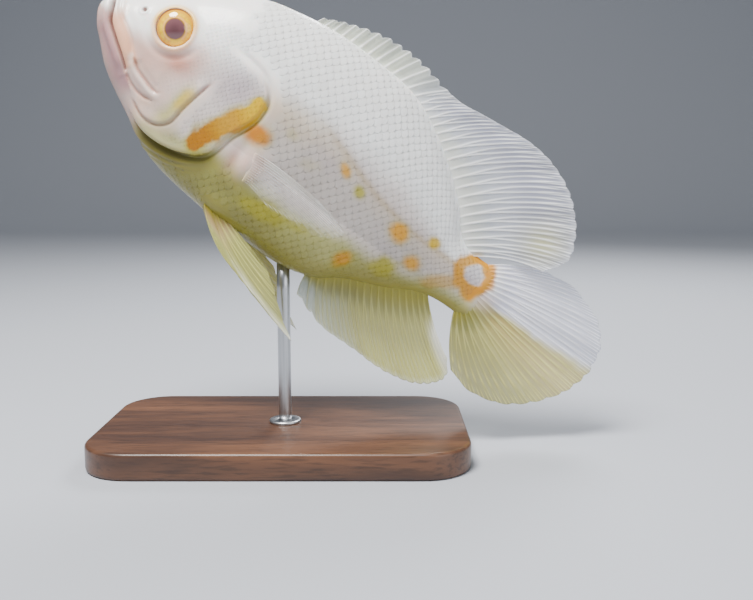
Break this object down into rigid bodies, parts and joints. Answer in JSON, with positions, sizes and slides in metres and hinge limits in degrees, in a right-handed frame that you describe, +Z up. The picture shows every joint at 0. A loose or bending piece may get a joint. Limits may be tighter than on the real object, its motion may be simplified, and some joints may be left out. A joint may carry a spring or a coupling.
{
  "type": "oscar fish display model",
  "caption": "Life-size still model of a white and lemon oscar fish, head raised, with ray fins spread, on a rod and a flat wooden base.",
  "frame": {"origin": "centre of the underside of the stand's base", "axes": "+Z up, -X towards the fish's snout, -Y towards the side that faces the viewer, which is the fish's left"},
  "size_m": [0.2356, 0.1, 0.21],
  "materials": {
    "skin": "moist white skin with lemon, olive and orange markings",
    "clear_fin": "milky translucent membrane with pale rays",
    "lemon_fin": "lemon and olive translucent membrane with pale rays",
    "eye": "wet, clear over a golden iris and a brown-pink pupil",
    "stand_wood": "dark oiled wood",
    "stand_steel": "brushed"
  },
  "bodies": {
    "root": {"head": "skin", "lower_jaw": "skin", "gill_cover_left": "skin", "gill_cover_right": "skin", "trunk": "skin", "tail_stalk": "skin", "eye_left": "eye", "eye_right": "eye", "dorsal_fin": "clear_fin", "anal_fin": "lemon_fin", "tail_fin": "lemon_fin", "pectoral_fin_left": "clear_fin", "pectoral_fin_right": "clear_fin", "pelvic_fin_left": "lemon_fin", "pelvic_fin_right": "lemon_fin", "stand_base": "stand_wood", "stand_rod": "stand_steel"}
  },
  "joints": []
}
